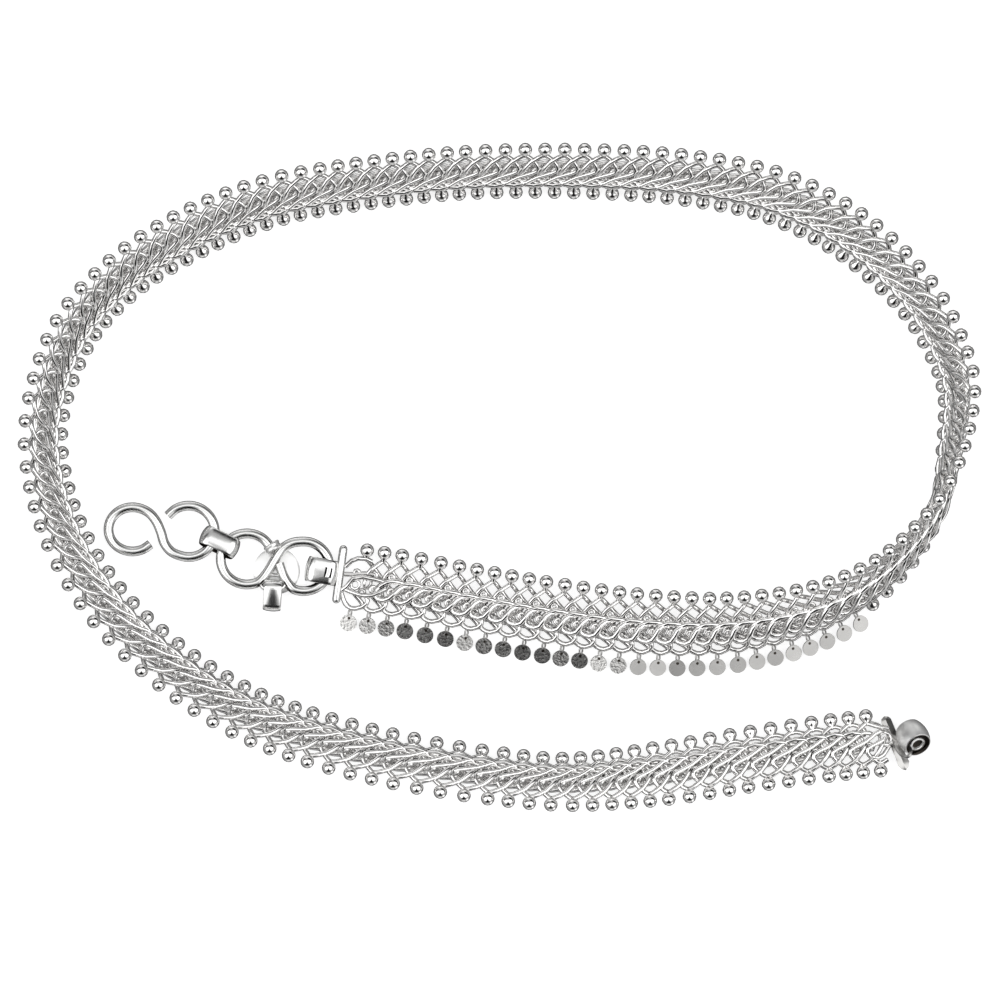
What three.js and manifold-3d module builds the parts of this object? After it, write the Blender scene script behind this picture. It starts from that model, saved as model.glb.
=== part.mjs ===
// A woven silver waist belt (kamarband), lying open on a flat surface, in millimetres, +Z up.
// The chain band follows a plan route and turns from flat to standing on its lower edge as it goes.
// Its front end carries an S-hook clasp, its tail end a wide domed ring that the hook closes into.
import * as THREE from "three";
import { mergeVertices } from "three/addons/utils/BufferGeometryUtils.js";
import Module from "manifold-3d";

const wasm = await Module();
wasm.setup();

// ---- driving dimensions ----
const CLEARANCE = 0.3; // between pieces that touch or nearly touch
const BEAD_RADIUS = 1.8; // edge beads
const LINKS = 152; // links along the band
const SECTIONS = 19; // band solids, with a whole number of links each
const RIDGE_HALF_WIDTH = 2.6; // rope ridge along the middle of the band
const RIDGE_HALF_THICKNESS = 2.2;
const TIP_SHORT_OF_BEAD = 1.1; // edge link tip inside the bead row's centre line
const VALLEY_DEPTH = 2.8; // edge link tip to the notch between two tips
const DISC_TIP_INSET = 1.0; // the tips that carry discs stand back by this much more
const DISCS = 28; // one for each of the first links
const DISC_RADIUS = 2.15;
const DISC_THICKNESS = 0.5;
const EAR_WIDTH = 1.1; // the disc's ear, through which its small ring goes
const EAR_LENGTH = 1.2;
const HOOK_WIRE_RADIUS = 1.22;
const HOOK_SIDES = 8;
const HOOK_Z = 2.6; // middle of the hooks' wire where the link ring and the strap loop hold it
const STRAP_THICKNESS = 1.0;

// ---- the band's lie ----
// A row for each place where the route or the lie changes, from the front end bar to the tail end bar:
// links, how many links lie before it, closer where the mesh is pushed together and further apart
// where it is drawn out; x and y of the middle of the band; lean, the turn of the bead row's side
// from lying outwards (0) over standing up (90) to lying inwards (180); width between the bead rows.
const ROUTE = [
  { links: 0, x: -42.6, y: -28.5, lean: 176, width: 18.8 },
  { links: 3.5, x: -26.0, y: -31.0, lean: 176, width: 18.8 },
  { links: 6, x: -12.9, y: -33.5, lean: 174, width: 18.8 },
  { links: 11, x: 11.2, y: -37.7, lean: 170, width: 18.8 },
  { links: 16, x: 36.8, y: -40.9, lean: 164, width: 18.8 },
  { links: 21, x: 62.6, y: -41.2, lean: 151, width: 18.8 },
  { links: 26, x: 87.5, y: -36.1, lean: 135, width: 18.8 },
  { links: 30, x: 105.0, y: -25.9, lean: 117, width: 18.8 },
  { links: 34, x: 117.8, y: -10.9, lean: 101, width: 18.8 },
  { links: 37, x: 122.9, y: 4.6, lean: 77, width: 18.8 },
  { links: 41, x: 125.3, y: 23.2, lean: 65, width: 18.8 },
  { links: 44, x: 121.3, y: 36.9, lean: 60, width: 18.8 },
  { links: 47, x: 113.4, y: 50.0, lean: 55, width: 18.8 },
  { links: 51, x: 99.0, y: 64.1, lean: 51, width: 18.8 },
  { links: 55, x: 82.5, y: 74.0, lean: 49, width: 18.8 },
  { links: 59, x: 63.8, y: 79.9, lean: 50, width: 18.8 },
  { links: 65, x: 33.5, y: 83.3, lean: 52, width: 18.8 },
  { links: 73, x: -9.2, y: 83.3, lean: 54, width: 18.8 },
  { links: 81, x: -48.4, y: 78.7, lean: 54, width: 18.8 },
  { links: 85, x: -68.2, y: 73.9, lean: 53, width: 18.8 },
  { links: 89, x: -86.5, y: 65.9, lean: 52, width: 18.8 },
  { links: 93, x: -103.2, y: 55.0, lean: 55, width: 18.8 },
  { links: 97, x: -116.6, y: 40.0, lean: 56, width: 18.8 },
  { links: 101, x: -123.9, y: 20.6, lean: 59, width: 18.8 },
  { links: 104, x: -124.5, y: 3.5, lean: 59, width: 18.8 },
  { links: 108, x: -118.8, y: -16.3, lean: 57, width: 18.8 },
  { links: 112, x: -106.7, y: -35.8, lean: 54, width: 18.8 },
  { links: 116, x: -89.6, y: -51.9, lean: 51, width: 18.8 },
  { links: 120, x: -70.5, y: -63.9, lean: 49, width: 18.8 },
  { links: 124, x: -50.8, y: -71.4, lean: 47, width: 18.8 },
  { links: 128, x: -28.0, y: -77.2, lean: 46, width: 18.6 },
  { links: 132, x: -2.7, y: -81.4, lean: 46, width: 18.2 },
  { links: 136, x: 19.6, y: -83.2, lean: 45, width: 17.8 },
  { links: 141, x: 45.1, y: -80.8, lean: 33, width: 17.0 },
  { links: 145, x: 66.7, y: -77.3, lean: 26, width: 16.4 },
  { links: 149, x: 88.9, y: -74.2, lean: 20, width: 16.0 },
  { links: 152.25, x: 104.4, y: -72.5, lean: 15, width: 15.8 },
];
// The mesh is pulled askew along the discs: how far their edge lies ahead of the bead row.
const EDGE_SLIP = [
  { links: 0, slip: 0 },
  { links: 2.5, slip: 1.2 },
  { links: 4.5, slip: 2.7 },
  { links: 6.5, slip: 3.2 },
  { links: 10.5, slip: 5.2 },
  { links: 20.5, slip: 5.2 },
  { links: 23.5, slip: 3.9 },
  { links: 25.5, slip: 2.1 },
  { links: 27.5, slip: 0.4 },
  { links: 29.5, slip: 0 },
];

// ---- the clasp and the ends ----
// Both hooks lie as two round loops; angles run anticlockwise from +X, in degrees, and the wire
// passes the points between them.
const OPEN_HOOK = {
  left: { x: -100.6, y: -14.4, radius: 6.5, from: -40, to: -350 },
  between: [],
  right: { x: -85.2, y: -14.9, radius: 7.2, from: 196, to: 503 },
};
const CLOSED_HOOK = {
  left: { x: -69.4, y: -22.3, radius: 7.25, from: 27, to: 300 },
  between: [[-64, -26.7], [-62.5, -24.3], [-60.5, -21.3]],
  right: { x: -54.3, y: -24.6, radius: 6.8, from: 127, to: -158 },
};
const OPEN_HOOK_TILT = 2.6; // its far loop rests on the surface
const LINK_RING = { x: -76.8, y: -18.4, length: 11.2, height: 5.2, width: 4.8, turn: -25 };
const SPARE_RING = { x: -62.6, y: -34.0, z: 3.2, length: 8.8, height: 4.6, width: 4.6, tilt: 25 };
const JUMP_RING = { x: -62.6, y: -29.9, z: 3.2, halfWidth: 3.7, halfLength: 2.1, tilt: 24, wire: 0.45 };
const TAG = { x: -61.4, y: -25.6, radius: 6.4, thickness: 0.8 };
const TAG_BAIL = { x: -63.2, y: -18.4, turn: 130, outer: 2.15, inner: 1.68, width: 1.9, lug: 2.6 };
const FRONT_BAR = { x: -44.0, y: -26.5, length: 16.0, radius: 1.0, turn: 8 };
const STRAP_LOOP = { x: -49.0, y: -25.6, length: 9.0, height: 5.2, width: 6.2, turn: -11 };
const STRAP_WINDOW = { x: -48.6, y: -25.4, length: 4.6, width: 3.0 };
const LUG_LENGTH = 1.6; // bar lugs that the first links go through
const TAIL_LUG_THICKNESS = 1.0;
const TAIL_LUGS = [
  { offset: 0.5, length: 3.0 },
  { offset: 3.5, length: 4.0 },
];
const TAIL_BAR = { x: 108.0, y: -72.6, z: 3.6, length: 16.0, width: 3.4, thickness: 1.3, turn: -68, lean: 12 };
const TAIL_RING = { x: 114.2, y: -71.2, z: 5.3, inner: 3.2, rim: 3.75, dome: 4.4, width: 6.8 };
const TAIL_RING_AXIS = new THREE.Vector3(0.38, -0.6, 0.68).normalize();
const TAIL_BAIL = { wire: 0.5, halfLength: 5.0, halfWidth: 1.65, reach: 3.6 };

const RADIANS = Math.PI / 180;
const UP = new THREE.Vector3(0, 0, 1);
const CENTRING = new THREE.Vector3(0.27, 0.03, 0); // brings the middle of the belt's box to the origin

// ---- materials ----
const bandSilver = { color: 0xc9c9c9, roughness: 0.3, metalness: 1 };
const hookSilver = { color: 0xd2d2d2, roughness: 0.15, metalness: 1 };
const discSilver = { color: 0xb4b4b4, roughness: 0.4, metalness: 1 };

const belt = new THREE.Group();

function addPiece(name, geometry, finish) {
  const mesh = new THREE.Mesh(geometry, new THREE.MeshStandardMaterial(finish));
  mesh.name = name;
  belt.add(mesh);
  return mesh;
}

// ---- solids ----
function solidOf(geometry) {
  const bare = geometry.index ? geometry.toNonIndexed() : geometry.clone();
  bare.deleteAttribute("normal");
  bare.deleteAttribute("uv");
  const merged = mergeVertices(bare, 1e-4);
  const index = merged.index.array;
  const corners = [];
  for (let i = 0; i < index.length; i += 3) {
    const [a, b, c] = [index[i], index[i + 1], index[i + 2]];
    if (a !== b && b !== c && c !== a) corners.push(a, b, c);
  }
  return new wasm.Manifold(
    new wasm.Mesh({
      numProp: 3,
      vertProperties: merged.attributes.position.array,
      triVerts: new Uint32Array(corners),
    }),
  );
}

function geometryOf(solid) {
  const mesh = solid.getMesh();
  const geometry = new THREE.BufferGeometry();
  geometry.setAttribute("position", new THREE.BufferAttribute(mesh.vertProperties, 3));
  geometry.setIndex(new THREE.BufferAttribute(mesh.triVerts, 1));
  return geometry;
}

function joined(geometries) {
  const [first, ...others] = geometries.map(solidOf);
  return geometryOf(others.reduce((whole, other) => whole.add(other), first));
}

// A solid through outlines of equal point count, each a list of Vector3, closed at both ends.
function loftGeometry(outlines) {
  const count = outlines[0].length;
  const points = outlines.flat().flatMap((point) => point.toArray());
  const index = [];
  for (let row = 0; row + 1 < outlines.length; row += 1) {
    for (let i = 0; i < count; i += 1) {
      const a = row * count + i;
      const b = row * count + ((i + 1) % count);
      index.push(a, b, b + count, a, b + count, a + count);
    }
  }
  const last = (outlines.length - 1) * count;
  for (let i = 1; i + 1 < count; i += 1) {
    index.push(0, i + 1, i);
    index.push(last, last + i, last + i + 1);
  }
  const geometry = new THREE.BufferGeometry();
  geometry.setAttribute("position", new THREE.Float32BufferAttribute(points, 3));
  geometry.setIndex(index);
  return geometry;
}

function wireGeometry(points, radius, { sides = HOOK_SIDES, steps, closed = false }) {
  const outline = new THREE.Shape();
  for (let i = 0; i < sides; i += 1) {
    const angle = (2 * Math.PI * i) / sides;
    const [x, y] = [radius * Math.cos(angle), radius * Math.sin(angle)];
    if (i === 0) outline.moveTo(x, y);
    else outline.lineTo(x, y);
  }
  const path = new THREE.CatmullRomCurve3(points, closed);
  return new THREE.ExtrudeGeometry(outline, { steps, extrudePath: path, bevelEnabled: false });
}

function stadiumPath(path, length, height) {
  const end = height / 2;
  const reach = length / 2 - end;
  path.moveTo(-reach, -end);
  path.lineTo(reach, -end);
  path.absarc(reach, 0, end, -Math.PI / 2, Math.PI / 2, false);
  path.lineTo(-reach, end);
  path.absarc(-reach, 0, end, Math.PI / 2, (3 * Math.PI) / 2, false);
  return path;
}

// An oval ring of strip: its long way along X, its height along Z, its width along Y.
function stripRingGeometry({ length, height, width }) {
  const outline = stadiumPath(new THREE.Shape(), length, height);
  const inside = [length - 2 * STRAP_THICKNESS, height - 2 * STRAP_THICKNESS];
  outline.holes.push(stadiumPath(new THREE.Path(), ...inside));
  const geometry = new THREE.ExtrudeGeometry(outline, {
    depth: width,
    bevelEnabled: false,
    curveSegments: 5,
  });
  geometry.translate(0, 0, -width / 2);
  geometry.rotateX(Math.PI / 2);
  return geometry;
}

// ---- the band ----
const planRoute = new THREE.CatmullRomCurve3(
  ROUTE.map((row) => new THREE.Vector3(row.x, row.y, 0)),
  false,
  "catmullrom",
  0.5,
);
const STEPS_PER_ROW = 60;
planRoute.arcLengthDivisions = STEPS_PER_ROW * (ROUTE.length - 1);
const lieRoute = new THREE.CatmullRomCurve3(
  ROUTE.map((row) => new THREE.Vector3(row.lean, row.width, 0)),
  false,
  "catmullrom",
  0.5,
);
const lengths = planRoute.getLengths();
const bandLength = planRoute.getLength();
const lastLink = ROUTE[ROUTE.length - 1].links;
const clearLinks = (CLEARANCE * lastLink) / bandLength;

// The route's parameter at a link number: links are evenly spaced between two rows of the table.
function routeParameter(link) {
  let row = 0;
  while (row + 2 < ROUTE.length && ROUTE[row + 1].links < link) row += 1;
  const share = (link - ROUTE[row].links) / (ROUTE[row + 1].links - ROUTE[row].links);
  const from = lengths[row * STEPS_PER_ROW];
  const to = lengths[(row + 1) * STEPS_PER_ROW];
  return planRoute.getUtoTmapping((from + share * (to - from)) / bandLength);
}

// How far the discs' edge is pulled ahead of the bead row at a link number.
function edgeSlip(link) {
  let row = 0;
  while (row + 2 < EDGE_SLIP.length && EDGE_SLIP[row + 1].links < link) row += 1;
  const near = EDGE_SLIP[row];
  const far = EDGE_SLIP[row + 1];
  const share = (link - near.links) / (far.links - near.links);
  return near.slip + (far.slip - near.slip) * Math.min(1, share);
}

// The band's frame at a link number: middle, the directions along it, towards the bead row and
// out of its outer face, half its width, and the slip of its other edge.
function bandFrame(link) {
  const t = routeParameter(link);
  const middle = planRoute.getPoint(t);
  const along = planRoute.getTangent(t);
  const outward = new THREE.Vector3().crossVectors(along, UP);
  const lie = lieRoute.getPoint(t);
  const lean = lie.x * RADIANS;
  const half = lie.y / 2;
  const across = outward.multiplyScalar(Math.cos(lean)).addScaledVector(UP, Math.sin(lean));
  const facing = new THREE.Vector3().crossVectors(along, across);
  middle.z = BEAD_RADIUS + half * Math.sin(lean);
  const lowRidge = RIDGE_HALF_THICKNESS + 0.05;
  middle.z = Math.max(middle.z, lowRidge);
  return { middle, along, across, facing, half, slip: edgeSlip(link) };
}

// The slip grows from nothing at the ridge's upper side to its full size at the discs' edge.
function placed(frame, across, facing) {
  const share = (RIDGE_HALF_WIDTH - across) / (RIDGE_HALF_WIDTH + frame.half);
  return frame.middle
    .clone()
    .addScaledVector(frame.along, frame.slip * Math.max(0, share))
    .addScaledVector(frame.across, across)
    .addScaledVector(frame.facing, facing);
}

// The band's outline at a link number: a ridge in the middle and thin edges, notched between links.
// Bead-row tips are at whole links, the other edge's tips at half links.
function bandOutline(link) {
  const frame = bandFrame(link);
  const nearTip = Math.abs(link - Math.round(link)) * 2; // 0 at a bead-row tip, 1 halfway
  const tip = frame.half - TIP_SHORT_OF_BEAD;
  const otherTip = link < DISCS ? tip - DISC_TIP_INSET : tip;
  const upper = tip - VALLEY_DEPTH * nearTip;
  const lower = -(otherTip - VALLEY_DEPTH * (1 - nearTip));
  return [
    placed(frame, upper, 0),
    placed(frame, RIDGE_HALF_WIDTH, RIDGE_HALF_THICKNESS),
    placed(frame, -RIDGE_HALF_WIDTH, RIDGE_HALF_THICKNESS),
    placed(frame, lower, 0),
    placed(frame, -RIDGE_HALF_WIDTH, -RIDGE_HALF_THICKNESS),
    placed(frame, RIDGE_HALF_WIDTH, -RIDGE_HALF_THICKNESS),
  ];
}

function beadGeometry(centre) {
  const bead = new THREE.IcosahedronGeometry(BEAD_RADIUS, 0);
  bead.rotateX(-Math.atan(2 / (1 + Math.sqrt(5)))); // a corner straight down
  bead.translate(centre.x, centre.y, centre.z);
  return bead;
}

// Cut a quarter link past a bead-row tip, so that no bead is cut.
function bandSection(section) {
  const linksEach = LINKS / SECTIONS;
  const first = section * linksEach;
  const isFirst = section === 0;
  const isLast = section === SECTIONS - 1;
  const start = isFirst ? clearLinks : first + 0.25 + clearLinks / 2;
  const stop = isLast ? lastLink - clearLinks : first + linksEach + 0.25 - clearLinks / 2;
  const stations = [start];
  for (let half = 1; half <= 2 * linksEach; half += 1) stations.push(first + half / 2);
  stations.push(stop);
  const pieces = [loftGeometry(stations.map(bandOutline))];
  for (let link = first + 1; link <= first + linksEach; link += 1) {
    const upper = bandFrame(link);
    pieces.push(beadGeometry(placed(upper, upper.half, 0)));
    if (link <= DISCS) continue;
    const lower = bandFrame(link - 0.5);
    pieces.push(beadGeometry(placed(lower, -lower.half, 0)));
  }
  return joined(pieces);
}

// ---- the discs ----
// A disc with its ear along +X, its face along Z, its ear's end at the origin.
function discGeometry() {
  const outline = new THREE.Shape();
  const earAngle = Math.asin(EAR_WIDTH / 2 / DISC_RADIUS);
  const centre = -(EAR_LENGTH + DISC_RADIUS);
  outline.moveTo(0, -EAR_WIDTH / 2);
  outline.lineTo(0, EAR_WIDTH / 2);
  outline.absarc(centre, 0, DISC_RADIUS, earAngle, 2 * Math.PI - earAngle, false);
  return new THREE.ExtrudeGeometry(outline, {
    depth: DISC_THICKNESS,
    bevelEnabled: false,
    curveSegments: 5,
  });
}

// It hangs from its link's tip and slopes down to the surface.
function hangDisc(number) {
  const frame = bandFrame(number - 0.5);
  const tip = placed(frame, -(frame.half - TIP_SHORT_OF_BEAD - DISC_TIP_INSET + CLEARANCE), 0);
  const length = EAR_LENGTH + 2 * DISC_RADIUS;
  const lowEnd = 0.1;
  const drop = Math.asin(Math.min(0.9, (tip.z - DISC_THICKNESS / 2 - lowEnd) / length));
  const outward = new THREE.Vector3(frame.along.y, -frame.along.x, 0);
  const towardsEar = outward.multiplyScalar(-Math.cos(drop)).addScaledVector(UP, Math.sin(drop));
  const sideways = frame.along.clone().negate();
  const face = new THREE.Vector3().crossVectors(towardsEar, sideways);
  const turn = new THREE.Matrix4().makeBasis(towardsEar, sideways, face);
  const disc = addPiece(`disc_${String(number).padStart(2, "0")}`, discGeometry(), discSilver);
  disc.quaternion.setFromRotationMatrix(turn);
  disc.position.copy(tip).addScaledVector(face, -DISC_THICKNESS / 2);
}

// ---- the hooks ----
function arcPoints({ x, y, radius, from, to }, z) {
  const count = Math.ceil(Math.abs(to - from) / 24);
  const points = [];
  for (let i = 0; i <= count; i += 1) {
    const angle = (from + ((to - from) * i) / count) * RADIANS;
    points.push(new THREE.Vector3(x + radius * Math.cos(angle), y + radius * Math.sin(angle), z));
  }
  return points;
}

function hookGeometry({ left, between, right }, z) {
  const middle = between.map(([x, y]) => new THREE.Vector3(x, y, z));
  const points = [...arcPoints(left, z), ...middle, ...arcPoints(right, z)];
  return wireGeometry(points, HOOK_WIRE_RADIUS, { steps: 30 });
}

function addOpenHook() {
  const hold = OPEN_HOOK.right.x + OPEN_HOOK.right.radius;
  const geometry = hookGeometry(OPEN_HOOK, 0);
  geometry.translate(-hold, 0, 0);
  const hook = addPiece("hook_open", geometry, hookSilver);
  hook.position.set(hold, 0, HOOK_Z);
  hook.rotation.y = -OPEN_HOOK_TILT * RADIANS;
}

function jumpRingGeometry() {
  const { halfWidth, halfLength, wire } = JUMP_RING;
  const points = [];
  for (let i = 0; i < 8; i += 1) {
    const angle = (i * Math.PI) / 4;
    const squarer = 0.75; // a fuller oval than an ellipse
    const across = Math.sign(Math.cos(angle)) * Math.abs(Math.cos(angle)) ** squarer;
    const along = Math.sign(Math.sin(angle)) * Math.abs(Math.sin(angle)) ** squarer;
    points.push(new THREE.Vector3(halfWidth * across, halfLength * along, 0));
  }
  const ring = wireGeometry(points, wire, { sides: 6, steps: 16, closed: true });
  ring.rotateX(-JUMP_RING.tilt * RADIANS);
  ring.translate(JUMP_RING.x, JUMP_RING.y, JUMP_RING.z);
  return ring;
}

function addClosedHook() {
  const loops = hookGeometry(CLOSED_HOOK, HOOK_Z);
  addPiece("hook_closed", joined([loops, jumpRingGeometry()]), hookSilver);
}

// ---- rings, tag and bars of the clasp ----
function addLinkRing() {
  const ring = addPiece("link_ring", stripRingGeometry(LINK_RING), hookSilver);
  ring.position.set(LINK_RING.x, LINK_RING.y, LINK_RING.height / 2);
  ring.rotation.z = LINK_RING.turn * RADIANS;
}

function addSpareRing() {
  const geometry = stripRingGeometry(SPARE_RING);
  geometry.rotateZ(Math.PI / 2);
  const ring = addPiece("spare_ring", geometry, hookSilver);
  ring.position.set(SPARE_RING.x, SPARE_RING.y, SPARE_RING.z);
  ring.rotation.x = SPARE_RING.tilt * RADIANS;
}

function addTag() {
  const disc = new THREE.CylinderGeometry(TAG.radius, TAG.radius, TAG.thickness, 28);
  disc.rotateX(Math.PI / 2);
  disc.translate(TAG.x, TAG.y, TAG.thickness / 2);
  const { outer, inner, width, turn, lug } = TAG_BAIL;
  const half = width / 2;
  const profile = [
    new THREE.Vector2(inner, -half),
    new THREE.Vector2(outer, -half),
    new THREE.Vector2(outer, half),
    new THREE.Vector2(inner, half),
    new THREE.Vector2(inner, -half),
  ];
  const bail = new THREE.LatheGeometry(profile, 12);
  bail.rotateZ((turn - 90) * RADIANS);
  bail.translate(TAG_BAIL.x, TAG_BAIL.y, HOOK_Z);
  const tongue = new THREE.BoxGeometry(width, lug, TAG.thickness);
  tongue.rotateZ((turn - 90 - 20) * RADIANS);
  tongue.translate(TAG_BAIL.x + 0.2, TAG_BAIL.y - 0.5, TAG.thickness / 2);
  addPiece("hook_tag", joined([disc, bail, tongue]), hookSilver);
}

function addFrontBar() {
  const bar = new THREE.CapsuleGeometry(FRONT_BAR.radius, FRONT_BAR.length - 2 * FRONT_BAR.radius, 3, 8);
  bar.rotateZ(-FRONT_BAR.turn * RADIANS);
  bar.translate(FRONT_BAR.x, FRONT_BAR.y, HOOK_Z);
  const loop = stripRingGeometry(STRAP_LOOP);
  loop.rotateZ(STRAP_LOOP.turn * RADIANS);
  loop.translate(STRAP_LOOP.x, STRAP_LOOP.y, STRAP_LOOP.height / 2);
  const window = new THREE.BoxGeometry(STRAP_WINDOW.length, STRAP_WINDOW.width, 2 * STRAP_THICKNESS);
  window.rotateZ(STRAP_LOOP.turn * RADIANS);
  window.translate(STRAP_WINDOW.x, STRAP_WINDOW.y, STRAP_LOOP.height);
  let whole = solidOf(bar).add(solidOf(loop)).subtract(solidOf(window));
  for (const offset of [-5, 0, 5]) {
    const lug = new THREE.BoxGeometry(LUG_LENGTH, 1.2, 1.2);
    const turn = FRONT_BAR.turn * RADIANS;
    lug.translate(LUG_LENGTH / 2, offset, 0);
    lug.rotateZ(-turn);
    lug.translate(FRONT_BAR.x, FRONT_BAR.y, HOOK_Z);
    whole = whole.add(solidOf(lug));
  }
  addPiece("front_end_bar", geometryOf(whole), hookSilver);
}

// ---- the tail ----
function tailBarPieces() {
  const outline = stadiumPath(new THREE.Shape(), TAIL_BAR.length, TAIL_BAR.width);
  const bar = new THREE.ExtrudeGeometry(outline, {
    depth: TAIL_BAR.thickness,
    bevelEnabled: false,
    curveSegments: 6,
  });
  bar.translate(0, 0, -TAIL_BAR.thickness / 2);
  const pieces = [bar];
  for (const { offset, length } of TAIL_LUGS) {
    const lug = new THREE.BoxGeometry(TAIL_LUG_THICKNESS, length, TAIL_LUG_THICKNESS);
    lug.translate(offset, -length / 2, 0);
    pieces.push(lug);
  }
  for (const piece of pieces) {
    piece.rotateY(-TAIL_BAR.lean * RADIANS);
    piece.rotateZ(TAIL_BAR.turn * RADIANS);
    piece.translate(TAIL_BAR.x, TAIL_BAR.y, TAIL_BAR.z);
  }
  return pieces;
}

// The ring's frame: its axis, and the side of it that faces the bar.
function tailRingFrame() {
  const centre = new THREE.Vector3(TAIL_RING.x, TAIL_RING.y, TAIL_RING.z);
  const side = new THREE.Vector3(-0.8, -0.6, 0);
  side.addScaledVector(TAIL_RING_AXIS, -side.dot(TAIL_RING_AXIS)).normalize();
  return { centre, side };
}

function addTailBar() {
  const { centre, side } = tailRingFrame();
  const middle = centre.clone().addScaledVector(side, TAIL_BAIL.reach);
  const points = [];
  for (let i = 0; i < 12; i += 1) {
    const angle = (i * Math.PI) / 6;
    const squarer = 0.6; // long sides nearly straight
    const along = Math.sign(Math.cos(angle)) * Math.abs(Math.cos(angle)) ** squarer;
    const point = middle.clone();
    point.addScaledVector(TAIL_RING_AXIS, TAIL_BAIL.halfLength * along);
    point.addScaledVector(side, TAIL_BAIL.halfWidth * Math.sin(angle));
    points.push(point);
  }
  const bail = wireGeometry(points, TAIL_BAIL.wire, { sides: 6, steps: 22, closed: true });
  addPiece("tail_end_bar", joined([...tailBarPieces(), bail]), hookSilver);
}

function addTailRing() {
  const { inner, rim, dome, width } = TAIL_RING;
  const half = width / 2;
  const profile = [
    new THREE.Vector2(inner, -half),
    new THREE.Vector2(rim, -half),
    new THREE.Vector2(dome, 0),
    new THREE.Vector2(rim, half),
    new THREE.Vector2(inner, half),
    new THREE.Vector2(inner, -half),
  ];
  const ring = addPiece("tail_ring", new THREE.LatheGeometry(profile, 18), hookSilver);
  ring.quaternion.setFromUnitVectors(new THREE.Vector3(0, 1, 0), TAIL_RING_AXIS);
  ring.position.copy(tailRingFrame().centre);
}

// ---- assembly ----
addOpenHook();
addLinkRing();
addClosedHook();
addTag();
addSpareRing();
addFrontBar();
for (let section = 0; section < SECTIONS; section += 1) {
  addPiece(`band_${String(section + 1).padStart(2, "0")}`, bandSection(section), bandSilver);
}
for (let number = 1; number <= DISCS; number += 1) hangDisc(number);
addTailBar();
addTailRing();
for (const piece of belt.children) piece.position.add(CENTRING);

export default belt;
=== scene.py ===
"""Woven silver waist belt, lying open on a pale surface.

The band is a mesh of round wire links with a ball at each edge link; small discs hang from the
first links. Two S-shaped hooks, an oval link ring, a spare ring, a tag and an end bar make up the
clasp, and a bar with a wide domed ring closes the other end.
"""

import math

import bmesh
import bpy
from bpy.props import FloatProperty, FloatVectorProperty, IntProperty, PointerProperty
from mathutils import Matrix, Quaternion, Vector


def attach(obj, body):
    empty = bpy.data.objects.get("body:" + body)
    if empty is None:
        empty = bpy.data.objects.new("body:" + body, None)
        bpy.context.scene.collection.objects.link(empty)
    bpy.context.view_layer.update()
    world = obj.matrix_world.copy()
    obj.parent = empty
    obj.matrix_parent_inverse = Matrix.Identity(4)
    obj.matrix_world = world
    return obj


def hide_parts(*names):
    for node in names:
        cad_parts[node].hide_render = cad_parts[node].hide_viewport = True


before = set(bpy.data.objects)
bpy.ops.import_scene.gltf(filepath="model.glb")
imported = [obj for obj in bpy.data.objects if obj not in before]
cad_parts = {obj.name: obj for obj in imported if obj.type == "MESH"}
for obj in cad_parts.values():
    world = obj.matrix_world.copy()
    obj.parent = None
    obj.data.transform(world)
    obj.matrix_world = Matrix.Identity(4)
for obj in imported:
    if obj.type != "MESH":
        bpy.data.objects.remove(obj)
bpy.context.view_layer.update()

bl_info = {
    "name": "Woven Waist Belt",
    "version": (1, 0, 0),
    "blender": (4, 5, 0),
    "location": "3D View > Sidebar > Waist Belt",
    "description": "Builds the wire mesh, balls, discs and clasp of a woven waist belt",
    "category": "Add Mesh",
}

MM = 0.001
UP = Vector((0.0, 0.0, 1.0))

# ---- the band's lie, in millimetres and degrees ----
# links: how many links lie before the row; x, y: middle of the band; lean: the turn of the ball
# row's side from lying outwards (0) over standing up (90) to lying inwards (180); width: between
# the two ball rows.
ROUTE = [
    (0, -42.6, -28.5, 176, 18.8),
    (3.5, -26.0, -31.0, 176, 18.8),
    (6, -12.9, -33.5, 174, 18.8),
    (11, 11.2, -37.7, 170, 18.8),
    (16, 36.8, -40.9, 164, 18.8),
    (21, 62.6, -41.2, 151, 18.8),
    (26, 87.5, -36.1, 135, 18.8),
    (30, 105.0, -25.9, 117, 18.8),
    (34, 117.8, -10.9, 101, 18.8),
    (37, 122.9, 4.6, 77, 18.8),
    (41, 125.3, 23.2, 65, 18.8),
    (44, 121.3, 36.9, 60, 18.8),
    (47, 113.4, 50.0, 55, 18.8),
    (51, 99.0, 64.1, 51, 18.8),
    (55, 82.5, 74.0, 49, 18.8),
    (59, 63.8, 79.9, 50, 18.8),
    (65, 33.5, 83.3, 52, 18.8),
    (73, -9.2, 83.3, 54, 18.8),
    (81, -48.4, 78.7, 54, 18.8),
    (85, -68.2, 73.9, 53, 18.8),
    (89, -86.5, 65.9, 52, 18.8),
    (93, -103.2, 55.0, 55, 18.8),
    (97, -116.6, 40.0, 56, 18.8),
    (101, -123.9, 20.6, 59, 18.8),
    (104, -124.5, 3.5, 59, 18.8),
    (108, -118.8, -16.3, 57, 18.8),
    (112, -106.7, -35.8, 54, 18.8),
    (116, -89.6, -51.9, 51, 18.8),
    (120, -70.5, -63.9, 49, 18.8),
    (124, -50.8, -71.4, 47, 18.8),
    (128, -28.0, -77.2, 46, 18.6),
    (132, -2.7, -81.4, 46, 18.2),
    (136, 19.6, -83.2, 45, 17.8),
    (141, 45.1, -80.8, 33, 17.0),
    (145, 66.7, -77.3, 26, 16.4),
    (149, 88.9, -74.2, 20, 16.0),
    (152.25, 104.4, -72.5, 15, 15.8),
]
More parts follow.
